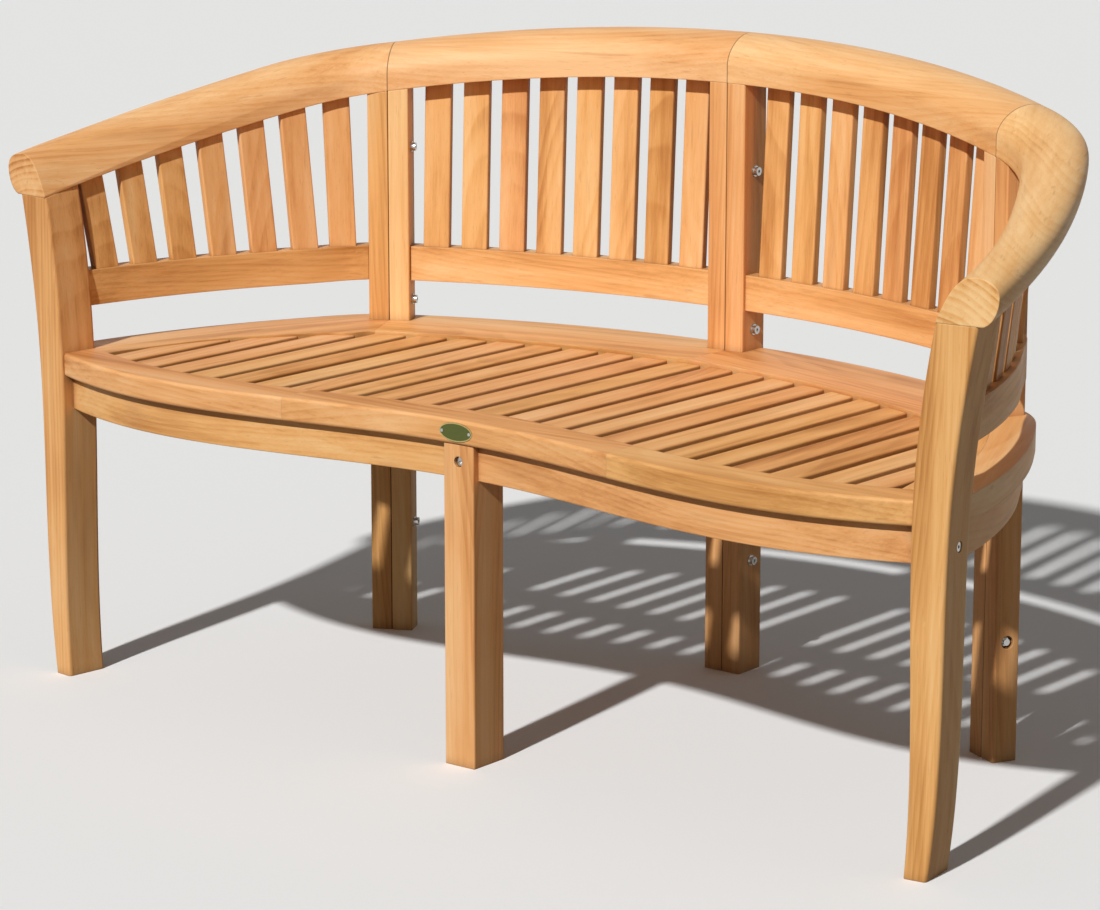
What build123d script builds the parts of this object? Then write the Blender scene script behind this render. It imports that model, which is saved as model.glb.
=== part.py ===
"""Crescent garden bench: a wavy slatted seat inside a curved back and arms, on six legs.

Millimetres, +Z up, +X towards the sitter's left hand as seen from the front, front towards -Y.
The origin is on the floor, at the centre of the bench's outline. The right half is drawn along
one plan line, the inner face of the back and arms, and the left half is its mirror image.
A place on that line is given by its distance from the centre of the back ("along") and by its
distance outwards from the line ("out").
"""
import os
from math import cos, hypot, pi, radians, sin

from build123d import *

# Plan line of the back and arms
SEAT_REACH = 593.0  # inner face of the back to the seat's nose
BACK_RADIUS = 1050.0
BACK_ANGLE = 26.8  # turned from the centre to the corner post
CORNER_RADIUS = 200.0
BEND_ANGLE = 60.0  # turned from the centre to the end of the tight bend
ARM_RADIUS = 945.0
LEG_LEAD = 6.0  # front of the leg, ahead of the seat's edge beside it

# Top rail
RAIL_WIDTH = 78.0
RAIL_ARM_WIDTH = 74.0  # at the arm's end
RAIL_HEIGHT = 60.0
RAIL_ARM_HEIGHT = 53.0
RAIL_FLAT = 58.0  # flat of the underside, from the inner face
RAIL_CREST = 48.0  # highest line, from the inner face
RAIL_NOSE = 37.0  # height of the widest line
RAIL_UPRIGHT = 22.0  # upright strip of the inner face, along the back
RAIL_UPRIGHT_ARM = 3.0  # the same at the arm's end
RAIL_SHOULDER = 20.0  # pull of the shoulder curve, along the back
RAIL_SHOULDER_ARM = 30.0
RAIL_LEAN_ARM = 24.0  # lean of the inner face at the arm's end
RAIL_RISE = 346.0  # underside at the centre of the back, above the seat
RAIL_CROWN_RADIUS = 3200.0
RAIL_ARM_SLOPE = 0.229

# Posts and legs
POST_WIDTH = 28.0  # one of a bolted pair
CENTRE_POST_DEPTH = 48.0
CORNER_POST_DEPTH = 33.0
LEG_DEPTH = 57.0
LEG_TOP_WIDTH = 51.0
LEG_ELBOW_WIDTH = 50.0
LEG_SEAT_WIDTH = 46.0
LEG_SHIN_WIDTH = 41.0
LEG_FOOT_WIDTH = 29.0
LEG_FOOT_FLARE = 26.0
LEG_FLARE = 24.0  # inner edge at the seat, inside the plan line
LEG_ELBOW_FLARE = 14.0
LEG_ELBOW_Z = 121.0  # above the seat
LEG_SHIN_Z = 160.0  # below the seat
CENTRE_LEG_WIDTH = 46.0
CENTRE_LEG_DEPTH = 57.0
CENTRE_LEG_SETBACK = 4.0
EDGE_ROUND = 2.0
LEG_ROUND = 4.0

# Lower rails and upright slats
LOWER_RAIL_GAP = 54.0  # above the seat
LOWER_RAIL_HEIGHT = 46.0
LOWER_RAIL_THICK = 26.0
LOWER_RAIL_SETBACKS = (6.0, -17.0, -10.0)  # inner face at the posts, past the bend and at the leg
SLAT_WIDTH = 36.0
SLAT_THICK = 12.0
SLAT_SETBACKS = (25.0, 5.0, 13.0)  # heads at the same three places
SLAT_FOOT_SETBACK = 5.0  # feet, behind the lower rail's inner face
SLAT_ARM_LEAN = 10.0  # feet of the arm's slats, back from their heads
SLAT_LEG_GAP = 6.0  # last slat of the arm, behind the leg
SLAT_STUB = 10.0
SLAT_ROUND = 2.0
BACK_SLATS = 8
ARM_SLATS = 7

# Seat
SEAT_HEIGHT = 430.0
SEAT_THICK = 30.0
SEAT_HOLLOW = 52.0  # centre of the front edge, behind the nose
SEAT_NOSE_X = 430.0
SEAT_EAR = 47.0  # front edge at the leg, behind the nose
SEAT_RAIL_WIDTH = 54.0
SEAT_RAIL_JOINT_X = 250.0
SEAT_ROUND = 4.0
RIM_OUTS = (43.0, 24.0, 18.0)  # outer edge at the back, past the bend and at the leg
RIM_SEAM_IN = 28.0  # glue line between the two boards of the rim
RIM_BACK_IN = 79.0
RIM_CORNER_IN = 93.0
RIM_BEND_IN = 84.0
RIM_ARM_IN = 61.0
RIM_FRONT_IN = 59.0
SEAT_SLAT_WIDTH = 39.0
SEAT_SLATS_EACH_SIDE = 11
SEAT_SLAT_THICK = 18.0
SEAT_SLAT_FALL = 5.0  # back ends below the rim
SEAT_SLAT_STUB = 12.0
SEAT_SLAT_STUB_WIDTH = 25.0
SEAT_SLAT_STUB_THICK = 9.0
BATTEN_WIDTH = 45.0
BATTEN_HEIGHT = 30.0
BATTEN_Y = -90.0

# Aprons
APRON_HEIGHT = 44.0
APRON_THICK = 24.0
APRON_FRONT_SETBACK = 14.0
APRON_SETBACKS = (6.0, -15.0, -15.0)  # inner face at the posts, past the bend and at the leg
STRETCHER_THICK = 24.0

# Joints
CLEARANCE = 0.2
JOINT_GAP = 0.05  # hairline under the top rail
STUB_ROOT = 5.0
POST_TENON_WIDTH = 12.0
POST_TENON_MARGIN = 8.0  # shoulder in front of a post's tenon and behind it
LEG_TENON_WIDTH = 22.0
LEG_TENON_DEPTH = 28.0
LEG_TENON = 16.0  # height in the arm's rail
RAIL_TENON = 24.0  # height of the posts' tenons in the top rail
STUB_LENGTH = 9.0
STUB_THICK = 12.0
STUB_MARGIN = 9.0  # shoulder above and below a stub tenon
CENTRE_TENON = 14.0
DOWEL_DIAMETER = 10.0
DOWEL_LENGTH = 50.0
FRONT_DOWEL_INSETS = (13.0, 30.0)  # behind the seat's front edge

# Hardware
BOLT_DIAMETER = 6.0
BOLT_HOLE_DIAMETER = 6.6
BOLT_HEAD_DIAMETER = 11.0
BOLT_HEAD_HEIGHT = 5.0
BOLT_SOCKET = 4.0
BOLT_SOCKET_DEPTH = 2.5
WASHER_DIAMETER = 14.0
WASHER_THICK = 1.5
NUT_DIAMETER = 11.0
NUT_HEIGHT = 5.0
NUT_CAP_DIAMETER = 8.5
NUT_CAP_HEIGHT = 3.0
NUT_SINK = 11.0
NUT_BORE = 16.0
LOW_BOLT_Z = 150.0
TOP_BOLT_RISE = 133.0  # above the lower rails
LEG_BOLT_SINK = 9.0
LEG_BOLT_BORE = 13.0
LEG_BOLT_REACH = 24.0  # past the face that the leg shows the apron
BARREL_DIAMETER = 10.0
BARREL_LENGTH = 20.0
BARREL_REACH = 15.0
PLATE_WIDTH = 50.0
PLATE_HEIGHT = 23.0
PLATE_THICK = 1.2
PLATE_SINK = 0.3
PLATE_BORDER = 1.4
PLATE_BORDER_THICK = 1.5
PIN_DIAMETER = 2.4
PIN_LENGTH = 8.0
PIN_HEAD_DIAMETER = 4.0
PIN_HEAD_HEIGHT = 0.8
PIN_SPACING = 42.0

# Places worked out from the sizes above
BACK_FACE_Y = (SEAT_REACH - RAIL_WIDTH) / 2
NOSE_Y = BACK_FACE_Y - SEAT_REACH
BACK_TURN = radians(BACK_ANGLE)
BEND_TURN = radians(BEND_ANGLE)
CORNER = BACK_RADIUS * BACK_TURN
BEND_LENGTH = CORNER_RADIUS * (BEND_TURN - BACK_TURN)
BEND_END = CORNER + BEND_LENGTH
LINE_END = BEND_END + ARM_RADIUS * (pi / 2 - BEND_TURN)
RAIL_TOP_Z = SEAT_HEIGHT + RAIL_RISE
SEAT_UNDER = SEAT_HEIGHT - SEAT_THICK
APRON_Z = SEAT_UNDER - APRON_HEIGHT
LOWER_RAIL_Z = SEAT_HEIGHT + LOWER_RAIL_GAP
LOWER_RAIL_TOP = LOWER_RAIL_Z + LOWER_RAIL_HEIGHT
NUT_SEAT = POST_WIDTH - NUT_SINK
BOLT_HEIGHTS = (LOW_BOLT_Z, SEAT_HEIGHT + LOWER_RAIL_GAP / 2, LOWER_RAIL_TOP + TOP_BOLT_RISE)
CENTRE_LEG_FRONT = NOSE_Y + SEAT_HOLLOW + CENTRE_LEG_SETBACK
CENTRE_LEG_BACK = CENTRE_LEG_FRONT + CENTRE_LEG_DEPTH
BACK_STEPS = 6
BEND_STEPS = 5
ARM_STEPS = 5


def steps(start, end, count):
    """Evenly spaced values from start to end."""
    return [start + (end - start) * i / count for i in range(count + 1)]


def turn(along):
    """Angle of the plan line at a distance from the centre of the back."""
    if along <= CORNER:
        return along / BACK_RADIUS
    if along <= BEND_END:
        return BACK_TURN + (along - CORNER) / CORNER_RADIUS
    return BEND_TURN + (along - BEND_END) / ARM_RADIUS


def outward(along):
    return Vector(sin(turn(along)), cos(turn(along)), 0)


def onward(along):
    return Vector(cos(turn(along)), -sin(turn(along)), 0)


def spot(along, out=0.0, z=0.0):
    """Point beside the plan line."""
    point = Vector(0, BACK_FACE_Y - BACK_RADIUS, z)
    if along <= CORNER:
        return point + outward(along) * (BACK_RADIUS + out)
    point += outward(CORNER) * (BACK_RADIUS - CORNER_RADIUS)
    if along <= BEND_END:
        return point + outward(along) * (CORNER_RADIUS + out)
    point += outward(BEND_END) * (CORNER_RADIUS - ARM_RADIUS)
    return point + outward(along) * (ARM_RADIUS + out)


def last_place(before):
    """Last place along the plan line for which a test holds, found by halving."""
    low, high = 0.0, LINE_END
    while high - low > 0.001:
        middle = (low + high) / 2
        low, high = (middle, high) if before(middle) else (low, middle)
    return low


LEG_FRONT_Y = NOSE_Y + SEAT_EAR - LEG_LEAD
ARM_END = last_place(lambda along: spot(along, -LEG_FLARE).Y > LEG_FRONT_Y)
LEG_BACK = ARM_END - LEG_DEPTH


def section_plane(along, out=0.0, z=0.0):
    """Upright plane across the plan line: x outwards, y up."""
    return Plane(spot(along, out, z), x_dir=outward(along), z_dir=onward(along))


def floor_plane(along, z=0.0):
    """Level plane at the plan line: x onwards, y outwards."""
    return Plane(spot(along, 0, z), x_dir=onward(along), z_dir=(0, 0, 1))


def rail_underside(along):
    """Height of the top rail's underside: a crown, a steeper bend, then a straight slope."""
    crown = min(along, CORNER)
    bend = min(max(along - CORNER, 0.0), BEND_LENGTH)
    arm = max(along - BEND_END, 0.0)
    corner_slope = CORNER / RAIL_CROWN_RADIUS
    bend_slope = corner_slope + (RAIL_ARM_SLOPE - corner_slope) * bend / (2 * BEND_LENGTH)
    return RAIL_TOP_Z - crown**2 / (2 * RAIL_CROWN_RADIUS) - bend_slope * bend - RAIL_ARM_SLOPE * arm


def arm_share(along):
    """0 along the back, growing smoothly to 1 at the arm's end."""
    share = max(along - CORNER, 0.0) / (ARM_END - CORNER)
    return share * share * (3 - 2 * share)


def blend(back_value, arm_value, along):
    return back_value + (arm_value - back_value) * arm_share(along)


def bend_share(along):
    """0 along the back, growing smoothly to 1 at the end of the tight bend."""
    share = min(max(along - CORNER, 0.0) / BEND_LENGTH, 1.0)
    return share * share * (3 - 2 * share)


def between(setbacks, along):
    """Distance out, given at the posts, past the bend and at the leg."""
    posts, bend, leg = setbacks
    share = max(along - BEND_END, 0.0) / (ARM_END - BEND_END)
    return posts + (bend - posts) * bend_share(along) + (leg - bend) * share


def wave_y(x):
    """Front edge of the seat: hollow in the middle, full to each side, drawn in at the legs."""
    x = abs(x)
    if x <= SEAT_NOSE_X:
        return NOSE_Y + SEAT_HOLLOW * (1 + cos(pi * x / SEAT_NOSE_X)) / 2
    return NOSE_Y + SEAT_EAR * ((x - SEAT_NOSE_X) / (LEG_FACE_X - SEAT_NOSE_X)) ** 2


def rim_inner(along):
    """Point of the rim's inner edge, between five widths along the plan line."""
    stations = [0.0, CORNER, (CORNER + BEND_END) / 2, BEND_END, (BEND_END + LEG_BACK) / 2, LEG_BACK]
    widths = [RIM_BACK_IN, RIM_BACK_IN, RIM_CORNER_IN, RIM_BEND_IN, RIM_ARM_IN, RIM_FRONT_IN]
    for (start, end), (low, high) in zip(zip(stations, stations[1:]), zip(widths, widths[1:])):
        if along <= end:
            share = max(along - start, 0.0) / (end - start)
            share = share * share * (3 - 2 * share)
            return spot(along, -(low + (high - low) * share))
    return spot(along, -RIM_FRONT_IN)


def rim_inner_y(x):
    """Where the rim's inner edge crosses a line parallel to the Y axis."""
    return rim_inner(last_place(lambda along: rim_inner(along).X < abs(x))).Y


LEG_FACE_X = spot(ARM_END, -LEG_FLARE).X
ARM_TURN = turn(ARM_END)
BACK_STATIONS = steps(0.0, CORNER, BACK_STEPS)
ARM_STATIONS = steps(CORNER, BEND_END, BEND_STEPS) + steps(BEND_END, ARM_END, ARM_STEPS)[1:]
SLAT_ROOM = rim_inner(LEG_BACK).X - (SEAT_SLATS_EACH_SIDE + 0.5) * SEAT_SLAT_WIDTH
SEAT_SLAT_PITCH = SEAT_SLAT_WIDTH + SLAT_ROOM / (SEAT_SLATS_EACH_SIDE + 1)


def rail_body(stations):
    """Top rail: the D-shaped section lofted along the plan line."""
    sections = []
    for along in stations:
        upright = blend(RAIL_UPRIGHT, RAIL_UPRIGHT_ARM, along)
        pull = blend(RAIL_SHOULDER, RAIL_SHOULDER_ARM, along)
        lean = radians(blend(0.0, RAIL_LEAN_ARM, along))
        shoulder = (pull * sin(lean), upright + pull * cos(lean))
        width = blend(RAIL_WIDTH, RAIL_ARM_WIDTH, along)
        height = blend(RAIL_HEIGHT, RAIL_ARM_HEIGHT, along)
        flat = RAIL_FLAT * width / RAIL_WIDTH
        crest = RAIL_CREST * width / RAIL_WIDTH
        nose = RAIL_NOSE * height / RAIL_HEIGHT
        with BuildSketch(section_plane(along, 0, rail_underside(along))) as section:
            with BuildLine():
                Polyline((flat, 0), (0, 0), (0, upright))
                Bezier((0, upright), shoulder, (crest / 2, height), (crest, height))
                Bezier(
                    (crest, height),
                    (crest + 0.6 * (width - crest), height),
                    (width, nose + 0.6 * (height - nose)),
                    (width, nose),
                )
                Bezier(
                    (width, nose),
                    (width, 0.55 * nose),
                    (flat + 0.6 * (width - flat), 0.1 * nose),
                    (flat, 0),
                )
            make_face()
        sections.append(section.sketch)
    loft(sections)


def above_rail():
    """Takes away what rises above the top rail's underside."""
    for stations in (BACK_STATIONS, ARM_STATIONS):
        sections = []
        for along in stations:
            with BuildSketch(section_plane(along, 0, rail_underside(along) - JOINT_GAP)) as section:
                with Locations((RAIL_WIDTH / 2, 0)):
                    Rectangle(2 * RAIL_WIDTH, RAIL_HEIGHT, align=(Align.CENTER, Align.MIN))
            sections.append(section.sketch)
        loft(sections, mode=Mode.SUBTRACT)


def post_depth(along):
    """Depth of the posts at the centre of the back or at its corner."""
    return CORNER_POST_DEPTH if along else CENTRE_POST_DEPTH


def post_blank(along, side, mode=Mode.ADD):
    """One half of a bolted pair of posts, from the floor into the top rail."""
    top = rail_underside(along) + RAIL_HEIGHT / 2
    rounding = EDGE_ROUND if mode == Mode.ADD else 0.0
    with BuildSketch(floor_plane(along)) as section:
        Rectangle(POST_WIDTH, post_depth(along), align=(Align.MIN if side > 0 else Align.MAX, Align.MIN))
        if rounding:
            fillet(section.vertices(), rounding)
    extrude(section.sketch, amount=top, mode=mode)


def post_tenon(along, side, grow=0.0, mode=Mode.ADD):
    under = rail_underside(along)
    with BuildSketch(floor_plane(along, under - STUB_ROOT - RAIL_ARM_SLOPE * POST_WIDTH)) as section:
        with Locations((side * POST_WIDTH / 2, post_depth(along) / 2)):
            depth = post_depth(along) - 2 * POST_TENON_MARGIN
            Rectangle(POST_TENON_WIDTH + 2 * grow, depth + 2 * grow)
    extrude(section.sketch, amount=STUB_ROOT + RAIL_ARM_SLOPE * POST_WIDTH + RAIL_TENON + grow, mode=mode)


def leg_blank(mode=Mode.ADD):
    """Curved front leg, drawn as seen from the front and as deep as the arm's end."""
    top = rail_underside(LEG_BACK) + RAIL_HEIGHT / 4
    elbow = SEAT_HEIGHT + LEG_ELBOW_Z
    arm = rail_underside(ARM_END)
    tip = LEG_ELBOW_FLARE * (top - arm) / (arm - elbow)
    shin = SEAT_HEIGHT - LEG_SHIN_Z
    inner = [(-LEG_FOOT_FLARE, 0), (-LEG_FLARE, shin), (-LEG_FLARE, SEAT_HEIGHT)]
    inner += [(-LEG_ELBOW_FLARE, elbow), (tip, top)]
    widths = [LEG_FOOT_WIDTH, LEG_SHIN_WIDTH, LEG_SEAT_WIDTH, LEG_ELBOW_WIDTH, LEG_TOP_WIDTH]
    outer = [(u + width, z) for (u, z), width in zip(inner, widths)]
    with BuildSketch(section_plane(ARM_END)) as section:
        with BuildLine():
            Spline(*inner)
            Spline(*outer)
            Line(inner[0], outer[0])
            Line(inner[-1], outer[-1])
        make_face()
    extrude(section.sketch, amount=-LEG_DEPTH, mode=mode)


def leg_tenon(grow=0.0, mode=Mode.ADD):
    under = rail_underside(ARM_END)
    with BuildSketch(floor_plane(ARM_END, under - STUB_ROOT)) as section:
        with Locations((-LEG_DEPTH / 2, RAIL_FLAT / 2)):
            Rectangle(LEG_TENON_DEPTH + 2 * grow, LEG_TENON_WIDTH + 2 * grow)
    extrude(section.sketch, amount=STUB_ROOT + RAIL_ARM_SLOPE * LEG_DEPTH + LEG_TENON + grow, mode=mode)


def plan_board(inner, outer, z, height, mode=Mode.ADD):
    """Board with two curved long edges, given as rows of points in plan."""
    with BuildSketch(Plane.XY.offset(z)) as section:
        with BuildLine():
            Spline(*[(p.X, p.Y) for p in inner])
            Spline(*[(p.X, p.Y) for p in outer])
            Line((inner[0].X, inner[0].Y), (outer[0].X, outer[0].Y))
            Line((inner[-1].X, inner[-1].Y), (outer[-1].X, outer[-1].Y))
        make_face()
    extrude(section.sketch, amount=height, mode=mode)


def wave_board(start, end, front, back, z, height, mode=Mode.ADD):
    """Board that follows the seat's front edge between two X places."""
    count = max(4, round((end - start) / 50))
    xs = steps(start, end, count)
    near = [Vector(x, wave_y(x) + front) for x in xs]
    far = [Vector(x, wave_y(x) + back) for x in xs]
    plan_board(near, far, z, height, mode)


def stub(plane, width, height, length=STUB_LENGTH, grow=0.0, mode=Mode.ADD):
    """Stub tenon that runs from just behind a joint's face along the plane's normal."""
    with BuildSketch(plane.offset(-STUB_ROOT)) as section:
        Rectangle(width + 2 * grow, height + 2 * grow)
    extrude(section.sketch, amount=STUB_ROOT + length + grow, mode=mode)


def flipped(plane):
    return Plane(plane.origin, x_dir=plane.x_dir, z_dir=-plane.z_dir)


def lower_out(along):
    """Inner face of a lower rail: set back on the posts, drawn in past the bend."""
    return between(LOWER_RAIL_SETBACKS, along)


def apron_out(along):
    return between(APRON_SETBACKS, along)


def apron_middle(along):
    return spot(along, apron_out(along) + APRON_THICK / 2)


def lower_rail_blank(stations, mode=Mode.ADD):
    inner = [spot(a, lower_out(a)) for a in stations]
    outer = [spot(a, lower_out(a) + LOWER_RAIL_THICK) for a in stations]
    plan_board(inner, outer, LOWER_RAIL_Z, LOWER_RAIL_HEIGHT, mode)


def apron_blank(stations, mode=Mode.ADD):
    inner = [spot(a, apron_out(a)) for a in stations]
    outer = [spot(a, apron_out(a) + APRON_THICK) for a in stations]
    plan_board(inner, outer, APRON_Z, APRON_HEIGHT, mode)


def board_stubs(ends, out_at, thick, z, height, grow=0.0, mode=Mode.ADD):
    """Stub tenons at the ends of a lower rail or an apron.

    Each end is the joint's place on the plan line, the face's distance from it, and the way
    that the tenon points: 1 onwards, -1 back towards the centre.
    """
    for along, face, way in ends:
        plane = section_plane(along, out_at(along) + thick / 2, z + height / 2)
        plane = Plane(plane.origin + onward(along) * face, x_dir=plane.x_dir, z_dir=plane.z_dir)
        joint = plane if way > 0 else flipped(plane)
        stub(joint, STUB_THICK, height - 2 * STUB_MARGIN, grow=grow, mode=mode)


CENTRE_END = (0.0, POST_WIDTH, -1)
CORNER_END = (CORNER, -POST_WIDTH, 1)
ARM_POST_END = (CORNER, POST_WIDTH, -1)
LEG_END = (ARM_END, -LEG_DEPTH, 1)


def lower_stubs(ends, grow=0.0, mode=Mode.ADD):
    board_stubs(ends, lower_out, LOWER_RAIL_THICK, LOWER_RAIL_Z, LOWER_RAIL_HEIGHT, grow, mode)


def apron_stubs(ends, grow=0.0, mode=Mode.ADD):
    board_stubs(ends, apron_out, APRON_THICK, APRON_Z, APRON_HEIGHT, grow, mode)


def panel_slats(start, gap, count, grow=0.0, mode=Mode.ADD):
    """Upright slats spread evenly from a post towards the next post or leg, let into both rails."""
    for i in range(count):
        along = start + gap + SLAT_WIDTH / 2 + i * (SLAT_WIDTH + gap)
        back = along - SLAT_ARM_LEAN * bend_share(along)
        foot = spot(back, lower_out(back) + SLAT_FOOT_SETBACK + SLAT_THICK / 2, LOWER_RAIL_TOP)
        head = spot(along, between(SLAT_SETBACKS, along) + SLAT_THICK / 2, rail_underside(along))
        rise = (head - foot).normalized()
        length = (head - foot).length + 2 * SLAT_STUB + 2 * grow
        plane = Plane(foot - rise * (SLAT_STUB + grow), x_dir=onward(along), z_dir=rise)
        with BuildSketch(plane) as section:
            RectangleRounded(SLAT_WIDTH + 2 * grow, SLAT_THICK + 2 * grow, SLAT_ROUND)
        extrude(section.sketch, amount=length, mode=mode)


def back_slats(grow=0.0, mode=Mode.ADD):
    gap = (CORNER - 2 * POST_WIDTH - BACK_SLATS * SLAT_WIDTH) / (BACK_SLATS + 1)
    panel_slats(POST_WIDTH, gap, BACK_SLATS, grow, mode)


def arm_slats(grow=0.0, mode=Mode.ADD):
    start = CORNER + POST_WIDTH
    gap = (LEG_BACK - SLAT_LEG_GAP - start) / ARM_SLATS - SLAT_WIDTH
    panel_slats(start, gap, ARM_SLATS, grow, mode)


def disc(plane, diameter, height, mode=Mode.ADD):
    with BuildSketch(plane) as section:
        Circle(diameter / 2)
    extrude(section.sketch, amount=height, mode=mode)


def cross_holes(along, heights, mode=Mode.SUBTRACT):
    """Bolt holes through a pair of posts."""
    for z in heights:
        with BuildSketch(section_plane(along, post_depth(along) / 2, z)) as section:
            Circle(BOLT_HOLE_DIAMETER / 2)
        extrude(section.sketch, amount=POST_WIDTH, both=True, mode=mode)


def nut_sinks(along, side):
    """Counterbores for the nuts, in the outer face of one post of a pair."""
    for z in BOLT_HEIGHTS:
        seat = section_plane(along, post_depth(along) / 2, z).offset(side * NUT_SEAT)
        disc(seat, NUT_BORE, side * 2 * NUT_SINK, Mode.SUBTRACT)


def splice_dowels(along, grow=0.0, mode=Mode.ADD):
    """Pair of dowels across a joint in the top rail."""
    for out in (RAIL_FLAT / 3, RAIL_FLAT):
        plane = section_plane(along, out, rail_underside(along) + RAIL_NOSE)
        with BuildSketch(plane) as section:
            Circle(DOWEL_DIAMETER / 2 + grow)
        extrude(section.sketch, amount=DOWEL_LENGTH / 2 + grow, both=True, mode=mode)


def wave_dowels(grow=0.0, mode=Mode.ADD):
    """Dowels across the two joints of the seat's front rail."""
    for side in (-1, 1):
        x = side * SEAT_RAIL_JOINT_X
        for inset in FRONT_DOWEL_INSETS:
            centre = (x, wave_y(x) + inset, SEAT_UNDER + SEAT_THICK / 2)
            with BuildSketch(Plane(centre, x_dir=(0, 1, 0), z_dir=(1, 0, 0))) as section:
                Circle(DOWEL_DIAMETER / 2 + grow)
            extrude(section.sketch, amount=DOWEL_LENGTH / 2 + grow, both=True, mode=mode)


SLAT_FRONT_Y = NOSE_Y + SEAT_RAIL_WIDTH / 2
SLAT_RUN = rim_inner_y(0) - SLAT_FRONT_Y
SLAT_TILT = SEAT_SLAT_FALL / SLAT_RUN
SLAT_WAY = Vector(0, 1, -SLAT_TILT).normalized()


def slat_top(y):
    return SEAT_HEIGHT - SLAT_TILT * (y - SLAT_FRONT_Y)


def slat_under(y):
    return slat_top(y) - SEAT_SLAT_THICK * hypot(1, SLAT_TILT) - JOINT_GAP


def slat_plane(y, drop=0.0):
    """Plane across the seat slats: x along the bench, y up from the slats' tops."""
    return Plane((0, y, slat_top(y) - drop), x_dir=(-1, 0, 0), z_dir=SLAT_WAY)


def seat_slat_stubs(xs, grow=0.0, mode=Mode.ADD):
    """Stub tenons of the seat slats in the front rail and in the rim."""
    for x in xs:
        front = wave_y(x) + SEAT_RAIL_WIDTH
        back = rim_inner_y(x)
        drop = SEAT_SLAT_THICK / 2
        start = front - SEAT_SLAT_STUB - grow
        with BuildSketch(slat_plane(start, drop)) as section:
            with Locations((-x, 0)):
                Rectangle(SEAT_SLAT_STUB_WIDTH + 2 * grow, SEAT_SLAT_STUB_THICK + 2 * grow)
        extrude(section.sketch, amount=back + SEAT_SLAT_STUB + grow - start, mode=mode)


def front_rail_blank(start, end, grow=0.0, mode=Mode.ADD):
    wave_board(start, end, 0.0, SEAT_RAIL_WIDTH + grow, SEAT_UNDER, SEAT_THICK, mode)


def rim_blank(stations, inner_edge, outer_edge, mode=Mode.ADD):
    inner = [inner_edge(a) for a in stations]
    outer = [outer_edge(a) for a in stations]
    plan_board(inner, outer, SEAT_UNDER, SEAT_THICK, mode)


def rim_shoulder(along):
    """Line where the seat slats stop, a hairline inside the rim."""
    return rim_inner(along) - outward(along) * JOINT_GAP


def rim_seam(along):
    return spot(along, -RIM_SEAM_IN)


def rim_outer(along):
    return spot(along, between(RIM_OUTS, along))


def seat_slat_places(first, last):
    return [i * SEAT_SLAT_PITCH for i in range(first, last + 1)]


def seat_slat_blank(xs):
    """Seat slats with rounded top edges, cut off at the front rail and at the rim."""
    for x in xs:
        near = min(wave_y(x - SEAT_SLAT_WIDTH / 2), wave_y(x + SEAT_SLAT_WIDTH / 2)) + SEAT_RAIL_WIDTH / 2
        far = rim_inner_y(x - SEAT_SLAT_WIDTH / 2) + SEAT_SLAT_STUB
        with BuildSketch(slat_plane(near)) as section:
            with Locations((-x, 0)):
                Rectangle(SEAT_SLAT_WIDTH, SEAT_SLAT_THICK, align=(Align.CENTER, Align.MAX))
            fillet(section.vertices().group_by(Axis.Y)[-1], SLAT_ROUND)
        extrude(section.sketch, amount=far - near)
    front_rail_blank(-SEAT_RAIL_JOINT_X, SEAT_RAIL_JOINT_X, JOINT_GAP, Mode.SUBTRACT)
    front_rail_blank(SEAT_RAIL_JOINT_X, LEG_FACE_X, JOINT_GAP, Mode.SUBTRACT)
    rim_blank(steps(-SEAT_SLAT_WIDTH, CORNER, BACK_STEPS), rim_shoulder, rim_outer, Mode.SUBTRACT)
    rim_blank(RIM_SIDE, rim_shoulder, rim_outer, Mode.SUBTRACT)


RIM_SIDE = steps(CORNER, BEND_END, BEND_STEPS)
RIM_SIDE += steps(BEND_END, LEG_BACK + LEG_DEPTH / 2, ARM_STEPS)[1:]
SLATS_RIGHT = seat_slat_places(1, SEAT_SLATS_EACH_SIDE)
SLATS_ALL = seat_slat_places(-SEAT_SLATS_EACH_SIDE, SEAT_SLATS_EACH_SIDE)

os.makedirs("parts", exist_ok=True)


def save(piece, label):
    piece.part.label = label
    export_step(piece.part, f"parts/{label}.step")


def save_pair(piece, label):
    """Saves a right-hand piece and its mirror image."""
    save(piece, f"{label}_right")
    with BuildPart() as twin:
        mirror(piece.part, about=Plane.YZ)
    save(twin, f"{label}_left")


# Top rails
with BuildPart() as back_rail:
    rail_body(BACK_STATIONS)
    post_tenon(0.0, 1, CLEARANCE, Mode.SUBTRACT)
    post_tenon(CORNER, -1, CLEARANCE, Mode.SUBTRACT)
    back_slats(CLEARANCE, Mode.SUBTRACT)
    splice_dowels(0.0, CLEARANCE, Mode.SUBTRACT)
    splice_dowels(CORNER, CLEARANCE, Mode.SUBTRACT)
save_pair(back_rail, "back_rail")

with BuildPart() as arm_rail:
    rail_body(ARM_STATIONS)
    post_tenon(CORNER, 1, CLEARANCE, Mode.SUBTRACT)
    leg_tenon(CLEARANCE, Mode.SUBTRACT)
    arm_slats(CLEARANCE, Mode.SUBTRACT)
    splice_dowels(CORNER, CLEARANCE, Mode.SUBTRACT)
save_pair(arm_rail, "arm_rail")

with BuildPart() as rail_dowels:
    splice_dowels(CORNER)
    mirror(about=Plane.YZ)
    splice_dowels(0.0)
save(rail_dowels, "rail_dowels")

# Posts
with BuildPart() as centre_post:
    post_blank(0.0, 1)
    above_rail()
    post_tenon(0.0, 1)
    lower_stubs([CENTRE_END], CLEARANCE, Mode.SUBTRACT)
    apron_stubs([CENTRE_END], CLEARANCE, Mode.SUBTRACT)
    cross_holes(0.0, BOLT_HEIGHTS)
save(centre_post, "centre_post_right")

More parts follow.
